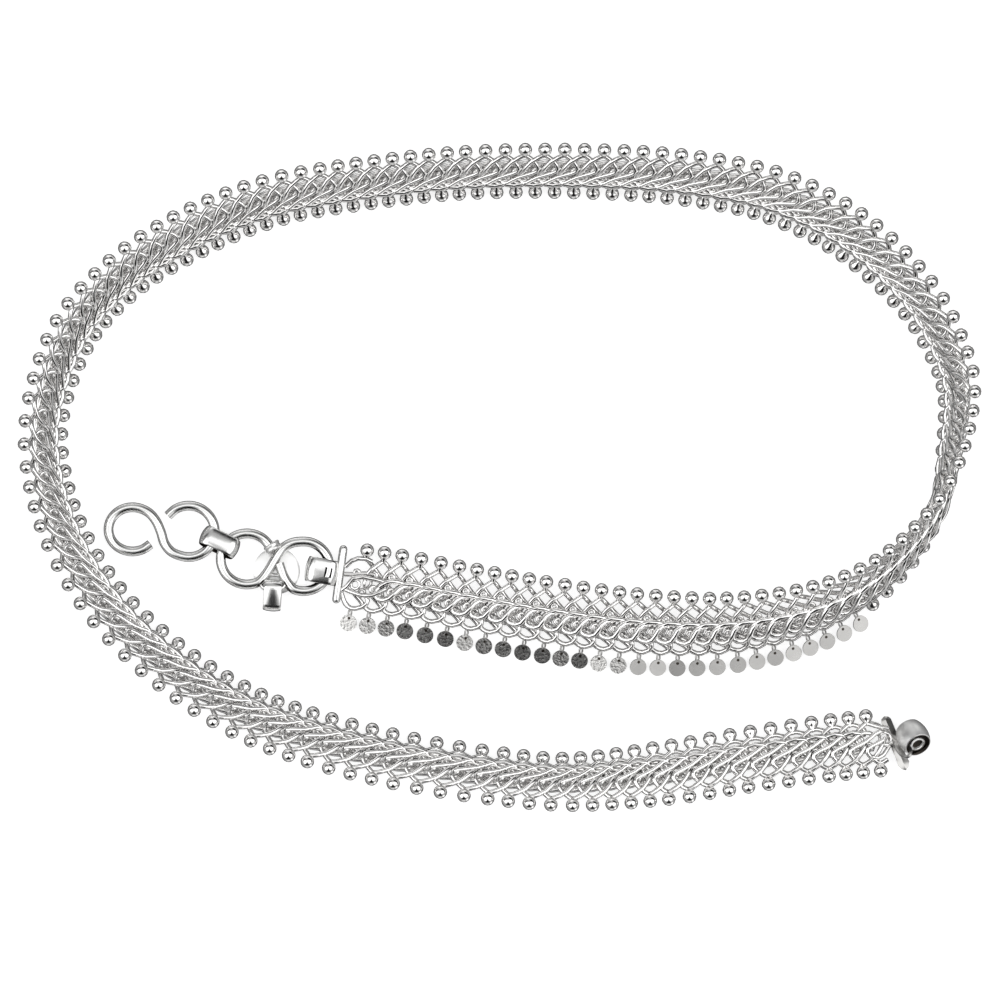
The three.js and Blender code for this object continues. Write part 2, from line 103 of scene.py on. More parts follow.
# The mesh is pulled askew along the discs: (link, mm that their edge lies ahead of the ball row).
EDGE_SLIP = [
    (0.0, 0.0),
    (2.5, 1.2),
    (4.5, 2.7),
    (6.5, 3.2),
    (10.5, 5.2),
    (20.5, 5.2),
    (23.5, 3.9),
    (25.5, 2.1),
    (27.5, 0.4),
    (29.5, 0.0),
]
CENTRING = Vector((0.27, 0.03, 0.0))  # brings the middle of the belt's box to the origin
LINKS = 152
SECTIONS = 19
DISCS = 28
FULL_HALF_WIDTH = 9.4  # the links below are drawn for a band of this half width
RIDGE_HALF_WIDTH = 2.6
RIDGE_HALF_THICKNESS = 2.2
BALL_RADIUS = 1.9
LINK_PITCH = 5.2  # carries the band's frame on past its two ends
# The mesh's wires are cut off at the two end bars, at these link numbers.
FIRST_CUT = 0.05
LAST_CUT = LINKS + 0.45
RING_SHARE = 0.7  # a joining ring's wire against the mesh's wire
WIRE_CLEARANCE = 0.02  # the least gap between a wire and the surface it lies on
STEPS_PER_ROW = 60

# ---- the links of the mesh ----
# Each path is a list of (links along, mm towards the ball row, mm out of the ridged face),
# counted from its own edge link; the two edges' links are staggered by half a link.
# A ball's link: its short leg lies on the ridged face, its long leg crosses the plain face.
BALL_LINK = [
    (-0.9, 1.2, -0.3),
    (-0.84, 2.2, 0.4),
    (-0.74, 3.3, 0.9),
    (-0.6, 4.4, 1.05),
    (-0.3, 5.8, 0.75),
    (-0.1, 6.7, 0.3),
    (0.0, 6.95, 0.0),
    (0.13, 6.68, -0.35),
    (0.45, 5.2, -1.0),
    (0.76, 3.6, -1.5),
    (1.05, 2.1, -1.8),
    (1.4, 0.4, -2.0),
    (1.86, -1.8, -2.05),
    (2.28, -3.4, -1.95),
    (2.6, -4.1, -1.6),
    (2.85, -3.6, -1.0),
    (2.92, -2.6, -0.3),
]
# The other edge's link: a wide U with a round shoulder.
OTHER_LINK = [
    (-0.95, -2.6, 0.5),
    (-0.79, -3.45, 0.2),
    (-0.57, -4.45, -0.1),
    (-0.35, -5.65, -0.2),
    (-0.15, -6.6, -0.1),
    (0.02, -6.98, 0.0),
    (0.24, -6.95, 0.25),
    (0.6, -6.15, 0.6),
    (0.82, -5.1, 0.8),
    (0.87, -4.2, 0.75),
    (0.78, -3.3, 0.4),
    (0.55, -2.7, 0.0),
]
# A link of the ridge: a long lens, its lower side in front and its upper side behind.
RIDGE_LINK = [
    (-0.33, -2.1, 1.5),
    (-0.12, -3.25, 1.7),
    (0.19, -3.45, 2.05),
    (0.51, -2.7, 2.3),
    (0.82, -1.1, 2.3),
    (1.06, 0.3, 2.1),
    (1.32, 1.2, 1.8),
    (1.66, 1.45, 1.3),
    (1.72, 1.1, 0.8),
    (1.45, 1.7, 1.0),
    (1.05, 2.1, 1.3),
    (0.65, 2.15, 1.6),
    (0.3, 1.35, 1.6),
    (0.0, 0.3, 1.2),
    (-0.24, -1.0, 1.2),
]
# A ring inside the band, standing across it.
INNER_LINK = [
    (0.33, 2.7, -0.4),
    (0.48, 1.8, -0.9),
    (0.45, 0.2, -1.0),
    (0.28, -0.9, -0.5),
    (0.13, -0.9, 0.3),
    (0.08, 0.6, 0.9),
    (0.15, 2.1, 0.4),
]
# Small joining rings: (links along, mm across, mm out, radius, turn about the across line).
JOINING_RINGS = [
    (-0.39, 2.95, 0.5, 0.8, 10.0),
    (0.62, -1.0, 0.9, 0.95, -10.0),
    (0.0, -2.4, -0.9, 0.9, 12.0),
]
# Past the turn of the band its plain face is up. There each ball's link has two legs: one runs
# ahead and dives under, the other turns back round an eye and crosses to the far edge.
PLAIN_FROM = 35
AHEAD_LEG = [
    (0.0, 6.95, 0.0),
    (0.2, 6.75, -0.3),
    (0.45, 6.1, -0.7),
    (0.73, 5.1, -1.0),
    (0.96, 3.8, -1.6),
    (1.13, 2.4, -2.0),
    (1.27, 1.0, -1.9),
    (1.38, -0.3, -1.3),
    (1.45, -1.2, -0.5),
]
BACK_LEG = [
    (0.0, 6.95, 0.0),
    (-0.2, 6.1, -0.2),
    (-0.42, 4.9, -0.4),
    (-0.58, 4.0, -1.0),
    (-0.66, 3.1, -1.6),
    (-0.6, 2.2, -1.9),
    (-0.35, 1.5, -2.0),
    (0.0, 0.7, -2.0),
    (0.35, -0.2, -1.95),
    (0.66, -1.4, -1.95),
    (0.92, -2.5, -2.0),
    (1.25, -3.2, -1.9),
    (1.58, -3.1, -1.6),
    (1.8, -2.4, -1.0),
]
# The rope along the far edge of the plain face: one thick turn a link.
EDGE_ROPE = [
    (0.0, -2.6, -1.4),
    (0.2, -3.2, -2.0),
    (0.6, -3.5, -2.3),
    (1.0, -3.1, -2.2),
    (1.25, -2.4, -1.6),
    (0.65, -2.2, -1.0),
]
PLAIN_RINGS = [
    (0.0, -0.9, -1.2, 0.95, 20.0),
    (0.5, 1.3, -1.2, 0.9, -15.0),
]
# The wires that join the first links to the front bar, as (links along, mm across, mm out).
FIRST_WIRES = [
    [(-0.1, 4.0, 0.2), (0.2, 5.9, 0.4), (0.55, 6.85, 0.4), (1.05, 7.05, 0.2), (1.35, 6.5, 0.0)],
    [(-0.1, 2.0, 0.3), (0.37, 2.3, 0.5), (1.05, 3.0, 0.8), (1.6, 3.1, 0.8)],
    [
        (-0.1, -2.4, 1.0),
        (0.15, -1.1, 1.4),
        (0.42, 1.3, 1.6),
        (0.98, 2.1, 1.6),
        (1.7, 1.9, 1.5),
        (2.3, 1.5, 1.0),
    ],
    [
        (0.0, -1.9, 1.0),
        (0.4, -2.4, 1.5),
        (1.0, -3.0, 1.8),
        (1.55, -2.7, 2.0),
        (2.0, -1.4, 2.0),
        (2.3, -0.2, 1.8),
    ],
    [(-0.1, -3.2, 0.1), (0.05, -4.8, 0.0), (0.18, -6.0, -0.1), (0.35, -6.7, -0.1)],
]
FIRST_RING = (0.6, -0.3, 1.1, 1.25, 10.0)
# The wires and the ring that close the last link at the tail bar.
LAST_WIRES = [
    [(-0.4, 4.9, -1.2), (-0.05, 5.3, -0.9), (0.25, 4.4, -0.6), (0.45, 2.9, -0.4), (0.6, 1.6, -0.2)],
    [(-0.1, 0.3, -1.6), (0.2, 1.2, -1.5), (0.5, 1.3, -1.0), (0.75, 0.4, -0.3)],
    [(-0.5, -6.95, 0.0), (-0.1, -5.9, -0.2), (0.3, -4.9, -0.3), (0.7, -4.2, -0.2)],
]
LAST_RING = (0.45, -1.0, -0.8, 1.7, 15.0)


def catmull_rom(a, b, c, d, f):
    """The point a share f of the way from b to c, on a uniform Catmull-Rom curve."""
    t0 = (c - a) * 0.5
    t1 = (d - b) * 0.5
    return b + t0 * f + (-3 * b + 3 * c - 2 * t0 - t1) * f**2 + (2 * b - 2 * c + t0 + t1) * f**3


def curve_point(points, t):
    """A point on the open curve through points, at parameter t, one for each span."""
    last = len(points) - 1
    i = min(int(t), last - 1)
    before = points[i - 1] if i > 0 else 2 * points[0] - points[1]
    after = points[i + 2] if i + 2 <= last else 2 * points[last] - points[last - 1]
    return catmull_rom(before, points[i], points[i + 1], after, t - i)


PLAN = [Vector((row[1], row[2], 0.0)) for row in ROUTE]
LIE = [Vector((row[3], row[4], 0.0)) for row in ROUTE]


def plan_lengths():
    """The route's length up to each of its small steps."""
    lengths = [0.0]
    previous = PLAN[0]
    for step in range(1, STEPS_PER_ROW * (len(PLAN) - 1) + 1):
        point = curve_point(PLAN, step / STEPS_PER_ROW)
        lengths.append(lengths[-1] + (point - previous).length)
        previous = point
    return lengths


LENGTHS = plan_lengths()


def route_parameter(link):
    """The route's parameter at a link number: links are evenly spaced between two rows."""
    row = 0
    while row + 2 < len(ROUTE) and ROUTE[row + 1][0] < link:
        row += 1
    share = (link - ROUTE[row][0]) / (ROUTE[row + 1][0] - ROUTE[row][0])
    start = LENGTHS[row * STEPS_PER_ROW]
    end = LENGTHS[(row + 1) * STEPS_PER_ROW]
    target = start + share * (end - start)
    low = row * STEPS_PER_ROW
    while low + 2 < len(LENGTHS) and LENGTHS[low + 1] < target:
        low += 1
    part = (target - LENGTHS[low]) / (LENGTHS[low + 1] - LENGTHS[low])
    return (low + part) / STEPS_PER_ROW


def band_frame(link):
    """Middle of the band at a link number, its directions and half its width, in millimetres."""
    held = min(max(link, 0.0), ROUTE[-1][0])
    t = route_parameter(held)
    middle = curve_point(PLAN, t)
    step = 0.001
    ahead = min(t + step, len(PLAN) - 1.0)
    behind = max(t - step, 0.0)
    along = (curve_point(PLAN, ahead) - curve_point(PLAN, behind)).normalized()
    lie = curve_point(LIE, t)
    lean = math.radians(lie.x)
    half = lie.y / 2
    outward = along.cross(UP)
    across = outward * math.cos(lean) + UP * math.sin(lean)
    facing = along.cross(across)
    middle.z = max(BALL_RADIUS + half * math.sin(lean), RIDGE_HALF_THICKNESS + 0.05)
    middle += along * (link - held) * LINK_PITCH
    return middle + CENTRING, along, across, facing, half


FRAMES = {}


def cached_frame(link):
    """The band's frame at a link number, worked out once."""
    key = round(link, 3)
    if key not in FRAMES:
        FRAMES[key] = band_frame(key)
    return FRAMES[key]


def edge_slip(link):
    """How far the discs' edge lies ahead of the ball row at a link number, in millimetres."""
    for (near, low), (far, high) in zip(EDGE_SLIP, EDGE_SLIP[1:]):
        if near <= link < far:
            return low + (high - low) * (link - near) / (far - near)
    return 0.0


def in_mesh(link, across_mm, out_mm):
    """A place in the mesh, in millimetres; the slip grows from the ridge's upper side to the edge."""
    middle, along, across, facing, half = cached_frame(link)
    reach = across_mm * half / FULL_HALF_WIDTH
    share = max(0.0, (RIDGE_HALF_WIDTH - reach) / (RIDGE_HALF_WIDTH + half))
    return middle + along * (edge_slip(link) * share) + across * reach + facing * out_mm


def on_band(link, across_mm, out_mm):
    """A place in the mesh, in metres."""
    return in_mesh(link, across_mm, out_mm) * MM


def smooth_path(points, per_span, closed):
    """More points on the smooth curve through the given ones."""
    count = len(points)
    path = []
    spans = count if closed else count - 1
    for i in range(spans):
        if closed:
            a, b, c, d = (points[(i + k) % count] for k in (-1, 0, 1, 2))
        else:
            b, c = points[i], points[i + 1]
            a = points[i - 1] if i else 2 * b - c
            d = points[i + 2] if i + 2 < count else 2 * c - b
        for k in range(per_span):
            path.append(catmull_rom(a, b, c, d, k / per_span))
    if not closed:
        path.append(points[-1].copy())
    return path


def wire_mesh(name, strands, radius, sides_level):
    """One mesh of round wires. Each strand is (points in metres, share of the radius, closed)."""
    curve = bpy.data.curves.new(name, "CURVE")
    curve.dimensions = "3D"
    curve.bevel_depth = radius
    curve.bevel_resolution = sides_level
    curve.use_fill_caps = True
    curve.twist_mode = "MINIMUM"
    for points, share, closed in strands:
        spline = curve.splines.new("POLY")
        spline.points.add(len(points) - 1)
        spline.use_cyclic_u = closed
        for point, place in zip(spline.points, points):
            point.co = (*place, 1.0)
            point.radius = share
    holder = bpy.data.objects.new(name, curve)
    bpy.context.scene.collection.objects.link(holder)
    mesh = bpy.data.meshes.new_from_object(holder.evaluated_get(bpy.context.evaluated_depsgraph_get()))
    bpy.data.objects.remove(holder)
    bpy.data.curves.remove(curve)
    return mesh


def finish_piece(name, mesh, finishes, nodes, crease=180):
    """The finished piece: at the origin, riding on the belt, standing for its CAD nodes.

    Edges sharper than crease, in degrees, stay sharp; 0 leaves every face flat.
    """
    mesh.name = name
    for finish in finishes:
        mesh.materials.append(material_named(finish))
    if crease:
        mesh.shade_smooth()
        mesh.set_sharp_from_angle(angle=math.radians(crease))
    piece = bpy.data.objects.new(name, mesh)
    bpy.context.scene.collection.objects.link(piece)
    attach(piece, "root")
    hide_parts(*nodes)


def mesh_of(bm, name):
    """Turns bm into a mesh and lets bm go."""
    mesh = bpy.data.meshes.new(name)
    bm.to_mesh(mesh)
    bm.free()
    return mesh


def add_copy(bm, mesh, matrix):
    """Adds the mesh to bm, placed by the matrix."""
    before = len(bm.verts)
    bm.from_mesh(mesh)
    bm.verts.ensure_lookup_table()
    bmesh.ops.transform(bm, matrix=matrix, verts=bm.verts[before:])


def add_part(bm, mesh, matrix=Matrix()):
    """Adds a mesh that is needed only once, and removes it."""
    add_copy(bm, mesh, matrix)
    bpy.data.meshes.remove(mesh)


def basis(x_axis, y_axis, z_axis, place):
    """The matrix that turns a piece's own axes to these and puts its origin at place."""
    turn = Matrix((x_axis, y_axis, z_axis)).transposed().to_4x4()
    return Matrix.Translation(place) @ turn


def placing(place, *turns):
    """The matrix that puts a part at place, in millimetres, after its turns, each (axis, degrees)."""
    matrix = Matrix.Translation((Vector(place) + CENTRING) * MM)
    for axis, degrees in turns:
        matrix = matrix @ Matrix.Rotation(math.radians(degrees), 4, axis)
    return matrix


def squared_off(value, power):
    """A sine or cosine that stays longer near 1 and -1, so that its loop has fuller corners."""
    return math.copysign(abs(value) ** power, value)


def turned_mesh(name, profile, steps):
    """A shape turned about Z from a profile of (radius, height) in millimetres, closed at its ends."""
    bm = bmesh.new()
    verts = [bm.verts.new((radius * MM, 0.0, height * MM)) for radius, height in profile]
    edges = [bm.edges.new(pair) for pair in zip(verts, verts[1:])]
    bmesh.ops.spin(
        bm,
        geom=verts + edges,
        cent=(0.0, 0.0, 0.0),
        axis=(0.0, 0.0, 1.0),
        angle=math.tau,
        steps=steps,
        use_merge=True,
    )
    bmesh.ops.remove_doubles(bm, verts=bm.verts, dist=0.01 * MM)
    bmesh.ops.recalc_face_normals(bm, faces=bm.faces)
    return mesh_of(bm, name)


# ---- materials ----
def linear(code):
    """An sRGB hex colour as linear RGBA."""
    parts = [int(code[i : i + 2], 16) / 255 for i in (0, 2, 4)]
    return [p / 12.92 if p <= 0.04045 else ((p + 0.055) / 1.055) ** 2.4 for p in parts] + [1.0]


def add_node(tree, kind, settings=None, inputs=None):
    """Adds a node; settings are its own, inputs are values or sockets by the input's name or place."""
    node = tree.nodes.new(kind)
    for key, value in (settings or {}).items():
        setattr(node, key, value)
    for key, value in (inputs or {}).items():
        if isinstance(value, bpy.types.NodeSocket):
            tree.links.new(value, node.inputs[key])
        else:
            node.inputs[key].default_value = value
    return node


def colour_stops(ramp_node, stops):
    """Sets a colour ramp's stops, each (position, hex code or linear colour)."""
    ramp = ramp_node.color_ramp
    while len(ramp.elements) < len(stops):
        ramp.elements.new(1.0)
    for element, (position, colour) in zip(ramp.elements, stops):
        element.position = position
        element.color = linear(colour) if isinstance(colour, str) else colour


def silver(name, light, crevice, roughness, spread, dent_mm, dent_depth):
    """Silver wire or sheet, polished by hand: light where open and darkened in the crevices, which is
    painted shade with some real tarnish.
    """
    material = bpy.data.materials.new(name)
    material.use_nodes = True
    tree = material.node_tree
    tree.nodes.clear()
    place = add_node(tree, "ShaderNodeTexCoord")
    wear = add_node(
        tree,
        "ShaderNodeTexNoise",
        inputs={"Vector": place.outputs["Object"], "Scale": 1 / (dent_mm * MM), "Detail": 3.0},
    )
    rough = add_node(
        tree,
        "ShaderNodeMapRange",
        inputs={
            "Value": wear.outputs["Fac"],
            "From Min": 0.3,
            "From Max": 0.7,
            "To Min": roughness - spread,
            "To Max": roughness + spread,
        },
    )
    bump = add_node(
        tree,
        "ShaderNodeBump",
        inputs={"Strength": 1.0, "Distance": dent_depth * MM, "Height": wear.outputs["Fac"]},
    )
    # Ambient occlusion darkens the colour in crevices and where parts meet: painted shade, with some real
    # tarnish.
    hollow = add_node(
        tree,
        "ShaderNodeAmbientOcclusion",
        settings={"samples": 6, "only_local": True},
        inputs={"Distance": 0.8 * MM},
    )
    tarnish_and_shade = add_node(tree, "ShaderNodeValToRGB", inputs={"Fac": hollow.outputs["AO"]})
    colour_stops(tarnish_and_shade, [(0.2, crevice), (0.55, light)])
    shader = add_node(
        tree,
        "ShaderNodeBsdfPrincipled",
        inputs={
            "Base Color": tarnish_and_shade.outputs["Color"],
            "Metallic": 1.0,
            "Roughness": rough.outputs["Result"],
            "Normal": bump.outputs["Normal"],
        },
    )
    add_node(tree, "ShaderNodeOutputMaterial", inputs={"Surface": shader.outputs["BSDF"]})
    return material


def material_named(name):
    """The belt's own finishes, made when first asked for."""
    if name in bpy.data.materials:
        return bpy.data.materials[name]
    finish = bpy.context.scene.belt_finish
    # Drawn and burnished wire: a sharp, bright reflection, and near-black where links meet, which is painted
    # shade with some real tarnish.
    if name == "burnished_silver_wire":
        return silver(name, "FBFAF9", "1E1B19", finish.wire_roughness, 0.03, 2.2, 0.01)
    # Hand-polished thick wire and strip: nearly a mirror, with soft dents some millimetres wide.
    if name == "polished_silver_clasp":
        return silver(name, "F4F4F3", "8A8178", finish.clasp_roughness, 0.03, 3.5, 0.03)
    # The insides of the strips and of the tail ring, and the discs' holes: dark silver, painted shade for
    # the shadow in these hollows.
    if name == "painted_shade_silver_inside":
        return silver(name, "4A4540", "141210", 0.35, 0.05, 2.2, 0.01)
    # Rolled sheet, brushed, of the smooth discs and the tail bar: an even grey that follows the turn.
    if name == "satin_silver_disc":
        return silver(name, "C9C8C6", "5C5650", finish.disc_roughness, 0.02, 3.0, 0.02)
    # Plain sheet, brushed white, of the tag and the tail ring: it takes up the whole studio's light.
    if name == "satin_silver_tag":
        return silver(name, "FAFAF9", "A39C94", finish.tag_roughness, 0.04, 3.0, 0.02)
    # Stamped discs, hammered and left satin: broad grey reflections broken up by small facets.
    return silver("hammered_silver_disc", "E4E3E1", "8C857D", finish.disc_roughness, 0.06, 0.7, 0.12)


# ---- the band ----
def ball_profile():
    """A ball with its short conical neck, as (radius, height) from the ball's middle."""
    profile = [(0.0, BALL_RADIUS)]
    for degrees in (26, 52, 78, 104, 130):
        angle = math.radians(degrees)
        profile.append((BALL_RADIUS * math.sin(angle), BALL_RADIUS * math.cos(angle)))
    return profile + [(0.62, -2.0), (0.72, -2.65), (0.0, -2.95)]


def strand(link, path, share=1.0, closed=False):
    """One wire of the mesh. It lies on the surface at its lowest, never in it."""
    points = [on_band(link + along, across, out) for along, across, out in path]
    lowest = bpy.context.scene.belt_band.wire_radius * share + WIRE_CLEARANCE * MM
    for point in points:
        point.z = max(point.z, lowest)
    return (points, share, closed)


def ring_strand(link, along, across, out, radius, turn):
    """A small ring lying in the mesh, turned about the across line."""
    _, way, side, facing, _ = cached_frame(link + along)
    centre = in_mesh(link + along, across, out)
    tilted = way * math.cos(math.radians(turn)) + facing * math.sin(math.radians(turn))
    points = []
    for i in range(8):
        angle = math.tau * i / 8
        offset = tilted * (radius * math.cos(angle)) + side * (radius * math.sin(angle))
        points.append((centre + offset) * MM)
    return (points, RING_SHARE, True)


def clipped(link, path):
    """The part of a path that lies between the two end bars."""
    return [place for place in path if FIRST_CUT <= link + place[0] <= LAST_CUT]


def link_strands(number):
    """All the wires of one link of the mesh; number counts from 1."""
    plain = number >= PLAIN_FROM
    link = float(number)
    paths = [(link - 0.5, OTHER_LINK)]
    if plain:
        paths += [(link, AHEAD_LEG), (link, BACK_LEG)]
    else:
        paths.append((link, BALL_LINK if number > 1 else BALL_LINK[6:]))
    strands = [strand(start, clipped(start, path)) for start, path in paths]
    if number == 1:
        strands += [strand(0.0, path) for path in FIRST_WIRES]
        strands.append(ring_strand(0.0, *FIRST_RING))
    if number == LINKS:
        strands += [strand(link, path) for path in LAST_WIRES]
        return strands + [ring_strand(link, *LAST_RING)]
    if 1 < number < LINKS - 1:
        strands.append(strand(link, RIDGE_LINK, share=1.3, closed=True))
    if plain and number < LINKS - 1:
        strands.append(strand(link, EDGE_ROPE, share=1.1, closed=True))
    strands.append(strand(link, INNER_LINK, share=0.75, closed=True))
    for ring in PLAIN_RINGS if plain else JOINING_RINGS:
        strands.append(ring_strand(link, *ring))
    return strands


class BELT_OT_woven_band(bpy.types.Operator):
    """Makes the wire mesh of the band with its balls, in sections of eight links"""

    bl_idname = "belt.woven_band"
    bl_label = "Woven Band"

    def execute(self, context):
        sizes = context.scene.belt_band
        ball = turned_mesh("ball", ball_profile(), sizes.ball_steps)
        links_each = LINKS // SECTIONS
        for section in range(SECTIONS):
            name = f"woven_band_{section + 1:02d}"
            first = section * links_each
            strands = []
            for number in range(first + 1, first + links_each + 1):
                strands += link_strands(number)
            bm = bmesh.new()
            add_part(bm, wire_mesh(name, strands, sizes.wire_radius, 1))
            for number in range(first + 1, first + links_each + 1):
                self.add_ball(bm, ball, float(number), 1)
                if number > DISCS:
                    self.add_ball(bm, ball, number - 0.5, -1)
            node = f"band_{section + 1:02d}"
            finish_piece(name, mesh_of(bm, name), ["burnished_silver_wire"], [node])
        bpy.data.meshes.remove(ball)
        return {"FINISHED"}

    def add_ball(self, bm, ball, link, side):
        _, along, across, facing, _ = cached_frame(link)
        outward = across * side
        place = on_band(link, side * FULL_HALF_WIDTH, 0.0)
        add_copy(bm, ball, basis(along * side, facing, outward, place))


# ---- the discs ----
DISC_RADIUS = 2.3
# Each disc's extra tip, flatter where it is negative, and its turn about its ear, in degrees.
DISC_SET = [
    (-6, -8), (-5, 11), (-3, 8), (1, 0), (1, 1), (2, 1), (-5, 12), (-2, 7), (2, -2), (1, 2),
    (0, 4), (-3, 8), (1, -1), (-6, -9), (-7, 11), (-9, 11), (-10, 12), (-8, 10), (-9, 11), (-10, 12),
    (-10, 11), (-11, 12), (-10, 11), (-12, 14), (-11, 16), (-10, 17), (-11, 18), (-12, 19),
]
HAMMERED_DISCS = 15  # the rest are smooth
DISC_THICKNESS = 0.4
HOLE_RADIUS = 0.42
HOLE_PLACE = 1.4  # from the disc's middle
HOLE_SHADE_RADIUS = 0.43  # a dark disc of painted shade in the hole, a hair wider
EAR_ACROSS = -7.5  # where the ears hang, across the mesh
EAR_REACH = 1.35  # from there to the disc's rim
EAR_WIRE = 0.32
HANG_LENGTH = 5.5  # sets how steeply they hang: a little under the ear's and disc's full reach
FLOOR_GAP = 0.35


def disc_mesh():
    """A thin disc with a dark piece of painted shade in its hole, near the +X side, where its ear is hung
    later.
    """
    bm = bmesh.new()
    bmesh.ops.create_circle(bm, cap_ends=False, segments=26, radius=DISC_RADIUS * MM)
    hole = bmesh.ops.create_circle(bm, cap_ends=False, segments=8, radius=HOLE_RADIUS * MM)["verts"]
    bmesh.ops.translate(bm, verts=hole, vec=(HOLE_PLACE * MM, 0.0, 0.0))
    bmesh.ops.triangle_fill(bm, edges=bm.edges[:], use_beauty=True, use_dissolve=False)
    made = bmesh.ops.extrude_face_region(bm, geom=bm.faces[:])["geom"]
    top = [v for v in made if isinstance(v, bmesh.types.BMVert)]
    bmesh.ops.translate(bm, verts=top, vec=(0.0, 0.0, DISC_THICKNESS * MM))
    hole_shade = bmesh.ops.create_cone(
        bm,
        cap_ends=True,
        segments=8,
        radius1=HOLE_SHADE_RADIUS * MM,
        radius2=HOLE_SHADE_RADIUS * MM,
        depth=0.3 * MM,
        matrix=Matrix.Translation((HOLE_PLACE * MM, 0.0, 0.22 * MM)),
    )
    # The piece in the hole takes the dark inside finish: painted shade.
    for face in {face for vert in hole_shade["verts"] for face in vert.link_faces}:
        face.material_index = 2
    bmesh.ops.recalc_face_normals(bm, faces=bm.faces)
    return mesh_of(bm, "disc")


class BELT_OT_front_discs(bpy.types.Operator):
    """Makes the small discs, hammered and smooth, that hang from the first links"""

    bl_idname = "belt.front_discs"
    bl_label = "Front Discs"

    def execute(self, context):
        disc = disc_mesh()
        ears = []
        bm = bmesh.new()
        for number in range(1, DISCS + 1):
            ears.append(self.hang_disc(bm, disc, number))
        ear_mesh = wire_mesh("ears", ears, EAR_WIRE * MM, 1)
        ear_mesh.polygons.foreach_set("material_index", [1] * len(ear_mesh.polygons))
        add_part(bm, ear_mesh)
        bpy.data.meshes.remove(disc)
        nodes = [f"disc_{number:02d}" for number in range(1, DISCS + 1)]
        finishes = ["hammered_silver_disc", "satin_silver_disc", "painted_shade_silver_inside"]
        finish_piece("front_discs", mesh_of(bm, "front_discs"), finishes, nodes, crease=0)
        return {"FINISHED"}

    def hang_disc(self, bm, disc, number):
        """Adds one disc, with its rim just clear of the floor, and returns its ear's ring of wire."""
        link = number - 0.5
        along = cached_frame(link)[1]
        tip = in_mesh(link, EAR_ACROSS, 0.0)
        outward = Vector((along.y, -along.x, 0.0))
        tip_extra, turn = DISC_SET[number - 1]
        drop = math.asin(min(0.9, (tip.z - FLOOR_GAP) / HANG_LENGTH)) + math.radians(tip_extra)
        to_ear = -outward * math.cos(drop) + UP * math.sin(drop)
        sideways = Quaternion(to_ear, math.radians(turn)) @ -along
        face = to_ear.cross(sideways)
        centre = tip - to_ear * (EAR_REACH + DISC_RADIUS)
        before = len(bm.faces)
        add_copy(bm, disc, basis(to_ear, sideways, face, centre * MM))
        bm.faces.ensure_lookup_table()
        for part in bm.faces[before:]:
            if number > HAMMERED_DISCS and part.material_index == 0:
                part.material_index = 1  # smooth
        ring_centre = tip - to_ear * 0.75
        points = []
        for i in range(10):
            angle = math.tau * i / 10
            offset = to_ear * (0.85 * math.cos(angle)) + sideways * (0.42 * math.sin(angle))
            points.append((ring_centre + offset) * MM)
        return (points, 0.8, True)


# ---- the clasp ----
# The second finish is dark painted shade, for the insides of the strips.
CLASP = ["polished_silver_clasp", "painted_shade_silver_inside"]  # outside, and inside the strips
# Each hook is two loops, an ellipse's (x, y, reach x, reach y, from, to in degrees), with the wire's
# points between them and after them.
OPEN_HOOK = {
    "first": (-100.8, -14.2, 6.6, 6.05, -42, -295),
    "between": [(-95.9, -10.0), (-94.2, -12.2), (-93.0, -15.0), (-92.1, -17.9), (-90.3, -20.2)],
    "second": (-85.4, -14.75, 7.15, 7.05, 250, 503),
    "after": [],
}
CLOSED_HOOK = {
    "first": (-69.4, -22.3, 7.2, 7.0, 27, 290),
    "between": [(-65.2, -27.6), (-63.4, -25.2), (-61.6, -22.2), (-59.7, -19.5), (-57.3, -18.0)],
    "second": (-53.9, -24.3, 7.0, 6.8, 95, -112),
    "after": [(-58.2, -28.9), (-59.4, -26.9), (-60.1, -25.0), (-60.6, -23.5)],
}
HOOK_Z = 2.8
OPEN_HOOK_TILT = 2.6
OPEN_HOOK_HOLD = -78.0  # the tilt turns about this x, where the link ring holds the hook
JUMP_RING_PLACE = (-62.3, -28.7, 3.0)
JUMP_RING_REACH = (3.3, 2.1)
JUMP_RING_WIRE = 1.0


def arc_points(loop):
    """Points along one loop of a hook, about one each 24 degrees."""
    x, y, reach_x, reach_y, start, end = loop
    count = math.ceil(abs(end - start) / 24)
    angles = [math.radians(start + (end - start) * i / count) for i in range(count + 1)]
    return [(x + reach_x * math.cos(angle), y + reach_y * math.sin(angle)) for angle in angles]


def hook_strand(hook):
    """The smooth path of a hook's wire, in metres."""
    flat = arc_points(hook["first"]) + hook["between"] + arc_points(hook["second"]) + hook["after"]
    points = [Vector((x, y, HOOK_Z)) for x, y in flat]
    return [(point + CENTRING) * MM for point in smooth_path(points, 5, False)]


